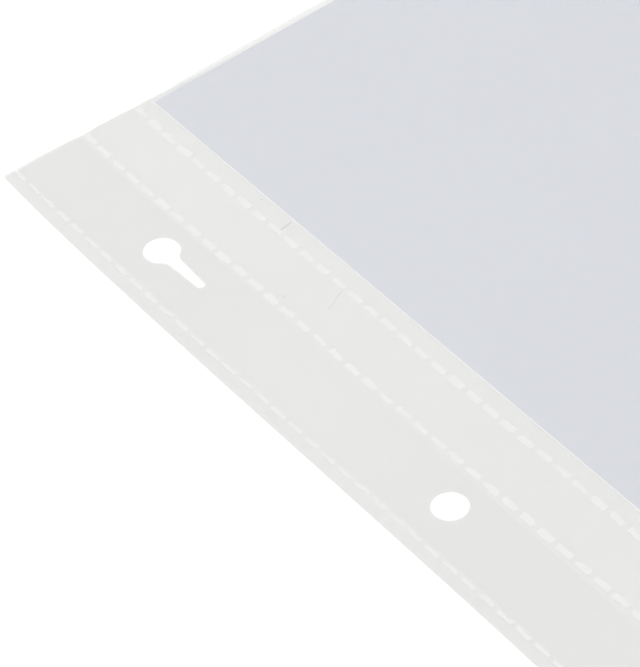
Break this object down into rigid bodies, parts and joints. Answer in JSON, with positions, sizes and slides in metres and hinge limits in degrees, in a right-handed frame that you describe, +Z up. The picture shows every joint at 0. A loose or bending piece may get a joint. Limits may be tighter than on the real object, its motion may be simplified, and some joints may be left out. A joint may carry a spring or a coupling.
{
  "type": "sheet protector",
  "caption": "Flat clear top-loading pocket with a reinforced, punched binding margin and dashed welds, holding one loose sheet and turning like a page in a ring binder.",
  "frame": {"origin": "under the middle of the pocket, on the surface that it lies on", "axes": "+X across, from the punched binding edge to the outer edge; +Y along, from the closed bottom to the open mouth; +Z up, out of the front film"},
  "size_m": [0.2504, 0.309, 0.0004],
  "materials": {
    "clear_film": "clear, faintly hazy film with a fine grain and a soft sheen",
    "strip_film": "thicker clear strip, faintly grey",
    "fused_film": "films melted together, paler than the film around them and slightly pressed in",
    "lavender_paper": "plain uncoated paper, pale lavender grey"
  },
  "bodies": {
    "binding": {"front_film_margin": "clear_film", "back_film_margin": "clear_film", "reinforcing_strip": "strip_film", "binding_edge_weld": "fused_film", "strip_weld": "fused_film"},
    "pocket": {"front_film_pocket": "clear_film", "back_film_pocket": "clear_film", "pocket_side_weld": "fused_film", "outer_side_weld": "fused_film", "bottom_weld": "fused_film"},
    "sheet": {"insert_sheet": "lavender_paper"}
  },
  "joints": [
    {"name": "page_turn", "type": "hinge", "parent": "binding", "child": "pocket", "pos_m": [-0.10625, 0, 0.00044], "axis": [0, -1, 0], "range_deg": [0, 175]},
    {"name": "sheet_slide", "type": "slide", "parent": "pocket", "child": "sheet", "axis": [0, 1, 0], "range_m": [-0.0075, 0.305]}
  ]
}
